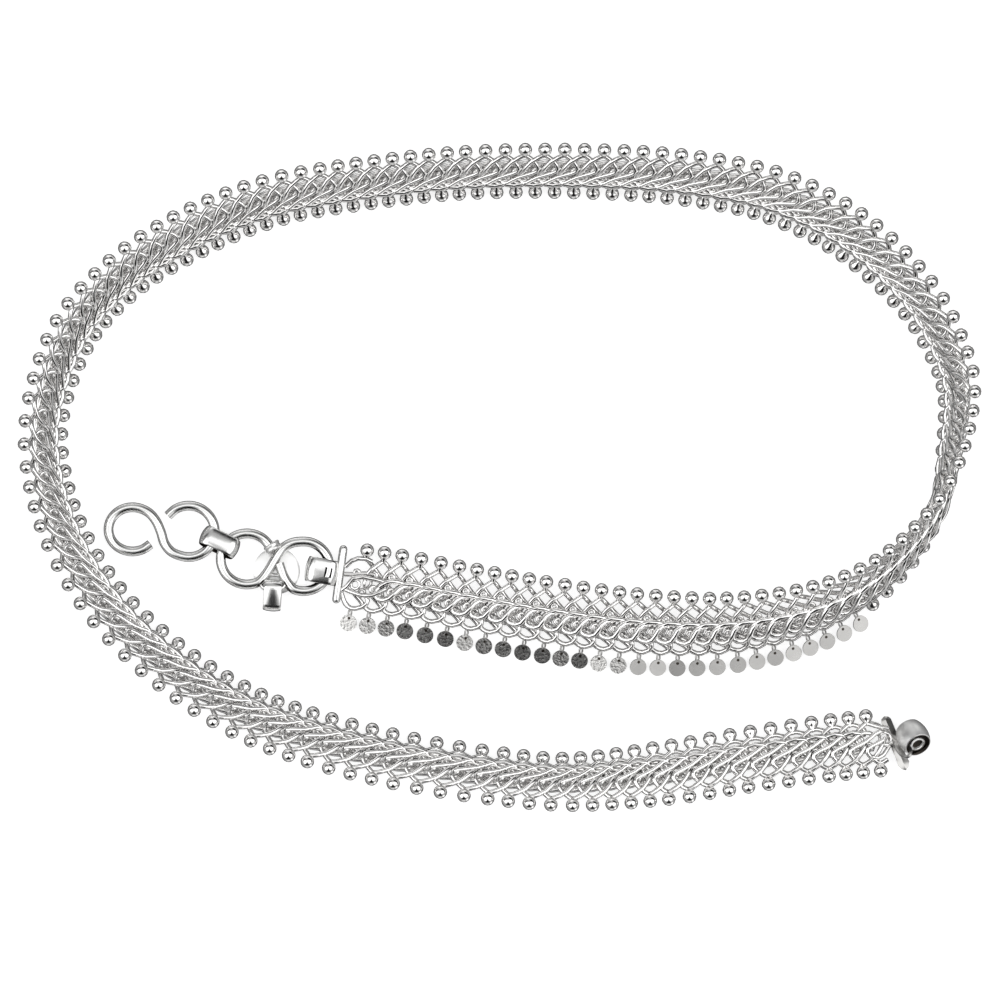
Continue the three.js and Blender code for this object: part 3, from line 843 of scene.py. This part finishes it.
class BELT_OT_hooks(bpy.types.Operator):
    """Makes the open and the closed S-shaped hook from thick round wire"""

    bl_idname = "belt.hooks"
    bl_label = "Hooks"

    def execute(self, context):
        clasp = context.scene.belt_clasp
        hold = Vector((OPEN_HOOK_HOLD, 0.0, HOOK_Z)) * MM
        tilt = Matrix.Rotation(math.radians(-OPEN_HOOK_TILT), 4, "Y")
        tilted = Matrix.Translation(hold) @ tilt @ Matrix.Translation(-hold)
        open_points = [tilted @ point for point in hook_strand(OPEN_HOOK)]
        mesh = wire_mesh("open_hook", [(open_points, 1.0, False)], clasp.hook_wire / 2, 6)
        finish_piece("hook_open_wire", mesh, CLASP, ["hook_open"], crease=45)
        strands = [(hook_strand(CLOSED_HOOK), 1.0, False), self.jump_ring(clasp)]
        mesh = wire_mesh("closed_hook", strands, clasp.hook_wire / 2, 6)
        finish_piece("hook_closed_wire", mesh, CLASP, ["hook_closed"], crease=45)
        return {"FINISHED"}

    def jump_ring(self, clasp):
        """The small oval ring soldered under the closed hook, which carries the spare ring."""
        place = placing(JUMP_RING_PLACE, ("X", -24))
        points = []
        for i in range(8):
            angle = i * math.pi / 4
            x = JUMP_RING_REACH[0] * squared_off(math.cos(angle), 0.75)
            y = JUMP_RING_REACH[1] * squared_off(math.sin(angle), 0.75)
            points.append(place @ (Vector((x, y, 0.0)) * MM))
        return (smooth_path(points, 4, True), JUMP_RING_WIRE * MM / clasp.hook_wire, True)


# Each ring of strip: (length, height, width, thickness, crown), in millimetres.
LINK_RING = (11.2, 5.6, 5.4, 0.55, 0.55)
LINK_RING_PLACE = (-76.9, -17.8, 2.95)
SPARE_RING = (8.9, 4.8, 4.9, 0.6, 0.35)
SPARE_RING_PLACE = (-62.4, -32.3, 3.5)
STRAP = (9.2, 5.2, 6.9, 0.7, 0.5)
STRAP_PLACE = (-48.9, -25.6, 2.75)


def strip_ring_mesh(length, height, width, thickness, crown):
    """An oval ring of half-round strip: long way along X, height along Z, width along Y, in mm."""
    bm = bmesh.new()
    half = height / 2
    reach = length / 2 - half
    outline = []
    for share in (-1.0, -0.94, -0.75, -0.4, 0.0, 0.4, 0.75, 0.94, 1.0):
        drop = crown * share**2 + (0.12 if abs(share) == 1.0 else 0.0)
        outline.append((share * width / 2, half - drop))
    outline += [(width / 2 * 0.96, half - thickness), (-width / 2 * 0.96, half - thickness)]
    verts = [bm.verts.new((-reach * MM, y * MM, z * MM)) for y, z in outline]
    edges = [bm.edges.new((verts[i], verts[(i + 1) % len(verts)])) for i in range(len(verts))]
    geom = verts + edges
    for end in (reach, -reach):
        grown = bmesh.ops.extrude_edge_only(bm, edges=[g for g in geom if isinstance(g, bmesh.types.BMEdge)])
        new = grown["geom"]
        moved = [g for g in new if isinstance(g, bmesh.types.BMVert)]
        bmesh.ops.translate(bm, verts=moved, vec=(2 * end * MM, 0.0, 0.0))
        start = [g for g in new if not isinstance(g, bmesh.types.BMFace)]
        spun = bmesh.ops.spin(
            bm, geom=start, cent=(end * MM, 0.0, 0.0), axis=(0.0, 1.0, 0.0), angle=math.pi, steps=12
        )
        geom = spun["geom_last"]
    bmesh.ops.remove_doubles(bm, verts=bm.verts, dist=0.002 * MM)
    bmesh.ops.recalc_face_normals(bm, faces=bm.faces)
    # The faces that look into the ring take the dark inside finish: painted shade.
    for face in bm.faces:
        spot = face.calc_center_median()
        spot.x -= max(-reach * MM, min(reach * MM, spot.x))
        spot.y = 0.0
        if face.normal.dot(spot) < -0.5 * spot.length:
            face.material_index = 1  # the inside
    return mesh_of(bm, "strip_ring")


class BELT_OT_rings(bpy.types.Operator):
    """Makes the oval link ring between the hooks and the spare ring that hangs below them"""

    bl_idname = "belt.rings"
    bl_label = "Link Ring and Spare Ring"

    def execute(self, context):
        ring = strip_ring_mesh(*LINK_RING)
        ring.transform(placing(LINK_RING_PLACE, ("Z", -26), ("X", -13)))
        finish_piece("link_ring_strip", ring, CLASP, ["link_ring"], crease=45)
        spare = strip_ring_mesh(*SPARE_RING)
        spare.transform(placing(SPARE_RING_PLACE, ("Z", -4), ("X", 12), ("Z", 90)))
        finish_piece("spare_ring_strip", spare, CLASP, ["spare_ring"], crease=45)
        return {"FINISHED"}


TAG_PLACE = (-61.4, -25.6, 0.0)
COLLAR_PLACE = (-62.4, -19.0, HOOK_Z)
# The foot that joins the collar to the tag.
FOOT_PLACE = (-63.2, -18.75, 0.4)
FOOT_SIZE = (1.9, 2.6, 0.8)


class BELT_OT_tag(bpy.types.Operator):
    """Makes the bare round tag under the closed hook and the rolled bail that holds it"""

    bl_idname = "belt.tag"
    bl_label = "Tag"

    def execute(self, context):
        bm = bmesh.new()
        dome = [(r, 1.3 - r * r / 46) for r in (0.0, 1.5, 3.0, 4.5, 5.6, 6.2)]
        rim = [(6.4, 0.35), (6.4, 0.12), (6.28, 0.0), (0.0, 0.0)]
        add_part(bm, turned_mesh("tag", dome + rim, 48), placing(TAG_PLACE))
        lower_turn = [(2.05, -1.05), (2.3, -0.85), (2.35, -0.5), (2.15, -0.1)]
        upper_turn = [(radius, -height) for radius, height in reversed(lower_turn)]
        profile = [(1.55, -1.0)] + lower_turn + upper_turn + [(1.55, 1.0), (1.55, -1.0)]
        add_part(bm, turned_mesh("collar", profile, 28), placing(COLLAR_PLACE, ("Z", 32), ("X", -90)))
        foot = bmesh.ops.create_cube(bm, size=MM)["verts"]
        shape = placing(FOOT_PLACE, ("Z", 14)) @ Matrix.Diagonal((*FOOT_SIZE, 1.0))
        bmesh.ops.transform(bm, matrix=shape, verts=foot)
        mesh = mesh_of(bm, "hook_tag_disc")
        finish_piece("hook_tag_disc", mesh, ["satin_silver_tag"], ["hook_tag"], crease=45)
        return {"FINISHED"}


def rod_profile(radius, length):
    """A rod with round ends, as (radius, height) from its middle."""
    half = length / 2
    profile = [(0.0, half)]
    for degrees in (30, 60, 90):
        angle = math.radians(degrees)
        profile.append((radius * math.sin(angle), half - radius + radius * math.cos(angle)))
    return profile + [(r, -z) for r, z in reversed(profile)]


ROD_RADIUS = 1.12
ROD_LENGTH = 16.2
ROD_PLACE = (-44.0, -26.5, HOOK_Z)
# The window in the strap, from the strap's own middle.
WINDOW_PLACE = (1.8, -0.1, 2.6)
WINDOW_SIZE = (2.0, 2.7, 2.4)


class BELT_OT_front_bar(bpy.types.Operator):
    """Makes the rounded end bar and the wide strap loop that the closed hook holds"""

    bl_idname = "belt.front_bar"
    bl_label = "Front End Bar"

    def execute(self, context):
        bm = bmesh.new()
        rod = turned_mesh("rod", rod_profile(ROD_RADIUS, ROD_LENGTH), 16)
        add_part(bm, rod, placing(ROD_PLACE, ("Z", -8), ("X", -90)))
        add_part(bm, self.strap_mesh(), placing(STRAP_PLACE, ("Z", -11)))
        mesh = mesh_of(bm, "front_end_bar_rod")
        finish_piece("front_end_bar_rod", mesh, CLASP, ["front_end_bar"], crease=45)
        return {"FINISHED"}

    def strap_mesh(self):
        """The strap loop, with a window cut through its top beside the bar."""
        strap = strip_ring_mesh(*STRAP)
        bm = bmesh.new()
        shape = Matrix.Translation(Vector(WINDOW_PLACE) * MM) @ Matrix.Diagonal((*WINDOW_SIZE, 1.0))
        bmesh.ops.create_cube(bm, size=MM, matrix=shape)
        cutter = bpy.data.objects.new("window", mesh_of(bm, "window"))
        holder = bpy.data.objects.new("strap", strap)
        for made in (cutter, holder):
            bpy.context.scene.collection.objects.link(made)
        cut = holder.modifiers.new("window", "BOOLEAN")
        cut.operation = "DIFFERENCE"
        cut.object = cutter
        done = bpy.data.meshes.new_from_object(holder.evaluated_get(bpy.context.evaluated_depsgraph_get()))
        for made in (cutter, holder):
            bpy.data.objects.remove(made)
        return done


TAIL_WIRE = 0.5  # radius of the tail ring's loop and bail
TAIL_AXIS = Vector((0.38, -0.6, 0.68)).normalized()
TAIL_CENTRE = Vector((112.9, -71.1, 5.5)) + CENTRING
TAIL_BAR_PLACE = (108.0, -72.6, 3.6)
LOOP_RADIUS = 1.9
BAIL_REACH = (4.7, 1.65)  # half its length along the ring's axis, and half its width
BAIL_OUT = 3.85  # from the ring's middle


class BELT_OT_tail(bpy.types.Operator):
    """Makes the flat tail bar and the wide domed ring that the hook closes into"""

    bl_idname = "belt.tail"
    bl_label = "Tail Bar and Ring"

    def execute(self, context):
        self.make_ring()
        self.make_bar()
        return {"FINISHED"}

    def make_ring(self):
        """The domed ring, dark inside with painted shade, with the small loop in its mouth."""
        lower_edge = [(3.5, -3.4), (3.75, -3.3), (4.1, -2.2), (4.35, -0.8)]
        upper_edge = [(radius, -height) for radius, height in reversed(lower_edge)]
        inner_side = [(3.3, 3.3), (3.75, 0.0), (3.3, -3.3)]
        profile = [(3.3, -3.3)] + lower_edge + upper_edge + inner_side
        turn = UP.rotation_difference(TAIL_AXIS).to_matrix().to_4x4()
        bm = bmesh.new()
        add_part(bm, turned_mesh("tail_ring", profile, 36), Matrix.Translation(TAIL_CENTRE * MM) @ turn)
        bm.normal_update()
        # The faces that look into the ring take the dark inside finish: painted shade.
        for face in bm.faces:
            from_middle = face.calc_center_median() - TAIL_CENTRE * MM
            if face.normal.dot(from_middle - TAIL_AXIS * from_middle.dot(TAIL_AXIS)) < 0.0:
                face.material_index = 1  # the inside
        add_part(bm, wire_mesh("loop", [(self.loop_points(), 1.0, True)], TAIL_WIRE * MM, 2))
        finishes = ["satin_silver_tag", "painted_shade_silver_inside"]
        mesh = mesh_of(bm, "tail_ring_barrel")
        finish_piece("tail_ring_barrel", mesh, finishes, ["tail_ring"], crease=45)

    def make_bar(self):
        """The flat bar with pointed ends, and the wire bail that holds the ring."""
        bm = bmesh.new()
        ends = [(0.0, 8.3), (1.2, 7.6), (2.0, 6.3), (1.8, 5.0), (1.7, -6.6), (1.2, -7.5), (0.0, -8.0)]
        flattened = Matrix.Diagonal((1.0, 0.85, 0.4, 1.0)) @ Matrix.Rotation(math.radians(90), 4, "Y")
        shape = placing(TAIL_BAR_PLACE, ("Z", -68), ("Y", -12)) @ flattened
        add_part(bm, turned_mesh("bar", ends, 4), shape)
        add_part(bm, wire_mesh("bail", [(self.bail_points(), 1.0, True)], TAIL_WIRE * MM, 2))
        mesh = mesh_of(bm, "tail_end_bar_flat")
        finishes = ["satin_silver_disc"]
        finish_piece("tail_end_bar_flat", mesh, finishes, ["tail_end_bar"], crease=30)

    def loop_points(self):
        """The small wire loop fixed in the mouth of the ring."""
        side = TAIL_AXIS.cross(UP).normalized()
        rise = TAIL_AXIS.cross(side)
        middle = TAIL_CENTRE + TAIL_AXIS * 1.8 + rise * 1.1
        points = []
        for i in range(16):
            angle = math.tau * i / 16
            offset = side * (LOOP_RADIUS * math.cos(angle)) + rise * (LOOP_RADIUS * math.sin(angle))
            points.append((middle + offset) * MM)
        return points

    def bail_points(self):
        """The long wire bail that runs in the ring along its axis."""
        side = Vector((-0.8, -0.6, 0.0))
        side = (side - TAIL_AXIS * side.dot(TAIL_AXIS)).normalized()
        middle = TAIL_CENTRE + side * BAIL_OUT
        points = []
        for i in range(12):
            angle = i * math.pi / 6
            along = BAIL_REACH[0] * squared_off(math.cos(angle), 0.6)
            points.append((middle + TAIL_AXIS * along + side * (BAIL_REACH[1] * math.sin(angle))) * MM)
        return smooth_path(points, 3, True)


# ---- the stage ----
# The studio is laid out as a mirror ball under it would show it: the middle is overhead, the rim
# is straight down, and +Y is up. In a grey room stand two wide soft boxes joined by a bright strip,
# and three strip lights near the rim. A black curtain hangs before the boxes, two dark gaps are
# behind them and a dim one is at their right.
ROOM = [(0.0, 0.45), (0.55, 0.44), (0.76, 0.37), (0.88, 0.19), (1.0, 0.07)]  # brightness from the middle
# Each shade: x, y, reach each way, turn in degrees, brightness, softness of its edge.
SHADES = [
    (-0.05, 0.68, 0.38, 0.12, 0, 1.1, 0.3),
    (-0.33, -0.04, 0.23, 0.25, 0, 1.6, 0.25),
    (0.3, 0.0, 0.25, 0.26, -15, 1.6, 0.25),
    (0.0, 0.12, 0.2, 0.1, 0, 1.2, 0.4),
    (-0.03, -0.8, 0.3, 0.08, 0, 0.8, 0.3),
    (0.5, -0.58, 0.2, 0.13, 45, 1.1, 0.35),
    (-0.01, -0.3, 0.15, 0.17, 0, 0.01, 0.3),
    (-0.01, -0.45, 0.37, 0.14, 0, 0.01, 0.3),
    (-0.5, 0.26, 0.33, 0.09, 24, 0.06, 0.4),
    (0.33, 0.4, 0.33, 0.12, -30, 0.01, 0.35),
    (0.68, 0.08, 0.09, 0.22, 15, 0.12, 0.5),
]
SENSOR_WIDTH = 36.0


def shade_mask(tree, spot, x, y, reach_x, reach_y, turn, softness):
    """How far a spot of the mirror ball is inside an oval shade, from 0 to 1."""
    inside = add_node(
        tree,
        "ShaderNodeMapping",
        {"vector_type": "TEXTURE"},
        {
            "Vector": spot,
            "Location": (x, y, 0.0),
            "Rotation": (0.0, 0.0, math.radians(turn)),
            "Scale": (reach_x, reach_y, 1.0),
        },
    )
    far = add_node(tree, "ShaderNodeVectorMath", {"operation": "LENGTH"}, {0: inside.outputs["Vector"]})
    soft = add_node(
        tree,
        "ShaderNodeMapRange",
        {"interpolation_type": "SMOOTHSTEP"},
        {"Value": far.outputs["Value"], "From Min": 1.0 + softness, "From Max": 1.0 - softness},
    )
    return soft.outputs["Result"]


class BELT_OT_stage(bpy.types.Operator):
    """Makes the pale floor, the studio with its soft boxes and dark cards, and the camera"""

    bl_idname = "belt.stage"
    bl_label = "Stage"

    def execute(self, context):
        settings = context.scene.belt_stage
        self.add_floor(context.scene, settings)
        self.add_studio(context.scene, settings)
        self.add_camera(context.scene, settings)
        context.scene.view_settings.view_transform = "Standard"
        return {"FINISHED"}

    def add_floor(self, scene, settings):
        """White paper lit from below; it doesn't show in the metal's reflections."""
        bm = bmesh.new()
        bmesh.ops.create_grid(bm, x_segments=1, y_segments=1, size=30.0)
        floor = bpy.data.objects.new("floor", mesh_of(bm, "floor"))
        scene.collection.objects.link(floor)
        material = bpy.data.materials.new("lit_white_paper")
        material.use_nodes = True
        shader = material.node_tree.nodes["Principled BSDF"]
        shader.inputs["Base Color"].default_value = (*settings.floor_colour, 1.0)
        shader.inputs["Roughness"].default_value = 0.9
        shader.inputs["Specular IOR Level"].default_value = 0.0
        shader.inputs["Emission Color"].default_value = (1.0, 1.0, 1.0, 1.0)
        shader.inputs["Emission Strength"].default_value = settings.floor_glow
        floor.data.materials.append(material)
        floor.visible_glossy = False

    def add_studio(self, scene, settings):
        """The light, from every direction's spot on the mirror ball."""
        world = bpy.data.worlds.new("white_studio")
        scene.world = world
        world.use_nodes = True
        tree = world.node_tree
        tree.nodes.clear()
        direction = add_node(tree, "ShaderNodeTexCoord").outputs["Generated"]
        height = add_node(tree, "ShaderNodeSeparateXYZ", inputs={"Vector": direction})
        doubled = add_node(
            tree, "ShaderNodeMath", {"operation": "MULTIPLY_ADD"}, {0: height.outputs["Z"], 1: 2.0, 2: 2.001}
        )
        shrink = add_node(tree, "ShaderNodeMath", {"operation": "POWER"}, {0: doubled.outputs[0], 1: -0.5})
        flat = add_node(
            tree, "ShaderNodeVectorMath", {"operation": "MULTIPLY"}, {0: direction, 1: (1.0, 1.0, 0.0)}
        )
        spot = add_node(
            tree,
            "ShaderNodeVectorMath",
            {"operation": "SCALE"},
            {0: flat.outputs["Vector"], "Scale": shrink.outputs[0]},
        ).outputs["Vector"]
        rim = add_node(tree, "ShaderNodeVectorMath", {"operation": "LENGTH"}, {0: spot})
        room = add_node(tree, "ShaderNodeValToRGB", inputs={"Fac": rim.outputs["Value"]})
        colour_stops(room, [(far, (grey, grey, grey, 1.0)) for far, grey in ROOM])
        level = room.outputs["Color"]
        for x, y, reach_x, reach_y, turn, brightness, softness in SHADES:
            mask = shade_mask(tree, spot, x, y, reach_x, reach_y, turn, softness)
            mixed = add_node(
                tree, "ShaderNodeMix", {"data_type": "FLOAT"}, {"Factor": mask, "A": level, "B": brightness}
            )
            level = mixed.outputs["Result"]
        strength = add_node(
            tree, "ShaderNodeMath", {"operation": "MULTIPLY"}, {0: level, 1: settings.studio_strength}
        )
        light = add_node(
            tree,
            "ShaderNodeBackground",
            inputs={"Color": (1.0, 1.0, 1.0, 1.0), "Strength": strength.outputs[0]},
        )
        add_node(tree, "ShaderNodeOutputWorld", inputs={"Surface": light.outputs["Background"]})

    def add_camera(self, scene, settings):
        data = bpy.data.cameras.new("camera")
        data.lens = settings.lens
        data.sensor_width = SENSOR_WIDTH
        data.clip_start = 0.1
        data.clip_end = 100.0
        camera = bpy.data.objects.new("camera", data)
        scene.collection.objects.link(camera)
        distance = settings.view_width / 2 / (SENSOR_WIDTH / 2 / settings.lens)
        camera.location = (settings.view_x, settings.view_y, distance)
        scene.camera = camera


# ---- settings ----
class BeltBandSettings(bpy.types.PropertyGroup):
    wire_radius: FloatProperty(
        name="Wire radius", description="Radius of the mesh's wire", default=0.64 * MM, unit="LENGTH"
    )
    ball_steps: IntProperty(name="Ball steps", description="Sides of each ball", default=12, min=6)


class BeltClaspSettings(bpy.types.PropertyGroup):
    hook_wire: FloatProperty(
        name="Hook wire", description="Thickness of the hooks' wire", default=2.7 * MM, unit="LENGTH"
    )


class BeltFinishSettings(bpy.types.PropertyGroup):
    wire_roughness: FloatProperty(
        name="Wire roughness", description="How dull the mesh's wire is", default=0.09, subtype="FACTOR"
    )
    clasp_roughness: FloatProperty(
        name="Clasp roughness", description="How dull the clasp is", default=0.19, subtype="FACTOR"
    )
    tag_roughness: FloatProperty(
        name="Tag roughness", description="How dull the tag is", default=0.4, subtype="FACTOR"
    )
    disc_roughness: FloatProperty(
        name="Disc roughness", description="How dull the discs are", default=0.28, subtype="FACTOR"
    )


class BeltStageSettings(bpy.types.PropertyGroup):
    floor_colour: FloatVectorProperty(
        name="Floor", description="Colour of the floor", default=(0.6, 0.6, 0.6), subtype="COLOR"
    )
    floor_glow: FloatProperty(
        name="Floor glow", description="Light that comes up through the floor", default=0.75
    )
    studio_strength: FloatProperty(
        name="Studio light", description="Brightness of the white studio", default=1.0
    )
    lens: FloatProperty(name="Lens", description="Focal length in millimetres", default=500.0)
    view_width: FloatProperty(
        name="View width", description="Width that the camera takes in", default=0.274, unit="LENGTH"
    )
    view_x: FloatProperty(
        name="View X", description="Where the camera stands, along X", default=0.00013, unit="LENGTH"
    )
    view_y: FloatProperty(
        name="View Y", description="Where the camera stands, along Y", default=-0.00614, unit="LENGTH"
    )


class BELT_PT_panel(bpy.types.Panel):
    """Lists the belt's settings and the steps that make it"""

    bl_label = "Waist Belt"
    bl_idname = "BELT_PT_panel"
    bl_space_type = "VIEW_3D"
    bl_region_type = "UI"
    bl_category = "Waist Belt"

    def draw(self, context):
        for name in SETTINGS:
            group = getattr(context.scene, name)
            for key in group.__annotations__:
                self.layout.prop(group, key)
        for operator in OPERATORS:
            self.layout.operator(operator.bl_idname)


SETTINGS = {
    "belt_band": BeltBandSettings,
    "belt_clasp": BeltClaspSettings,
    "belt_finish": BeltFinishSettings,
    "belt_stage": BeltStageSettings,
}
OPERATORS = [
    BELT_OT_stage,
    BELT_OT_woven_band,
    BELT_OT_front_discs,
    BELT_OT_hooks,
    BELT_OT_rings,
    BELT_OT_tag,
    BELT_OT_front_bar,
    BELT_OT_tail,
]


def register():
    for made in (*SETTINGS.values(), *OPERATORS, BELT_PT_panel):
        bpy.utils.register_class(made)
    for name, group in SETTINGS.items():
        setattr(bpy.types.Scene, name, PointerProperty(type=group))


def unregister():
    for name in SETTINGS:
        delattr(bpy.types.Scene, name)
    for made in reversed((*SETTINGS.values(), *OPERATORS, BELT_PT_panel)):
        bpy.utils.unregister_class(made)


def main():
    register()
    for operator in OPERATORS:
        group, step = operator.bl_idname.split(".")
        getattr(getattr(bpy.ops, group), step)()


if __name__ == "__main__":
    main()
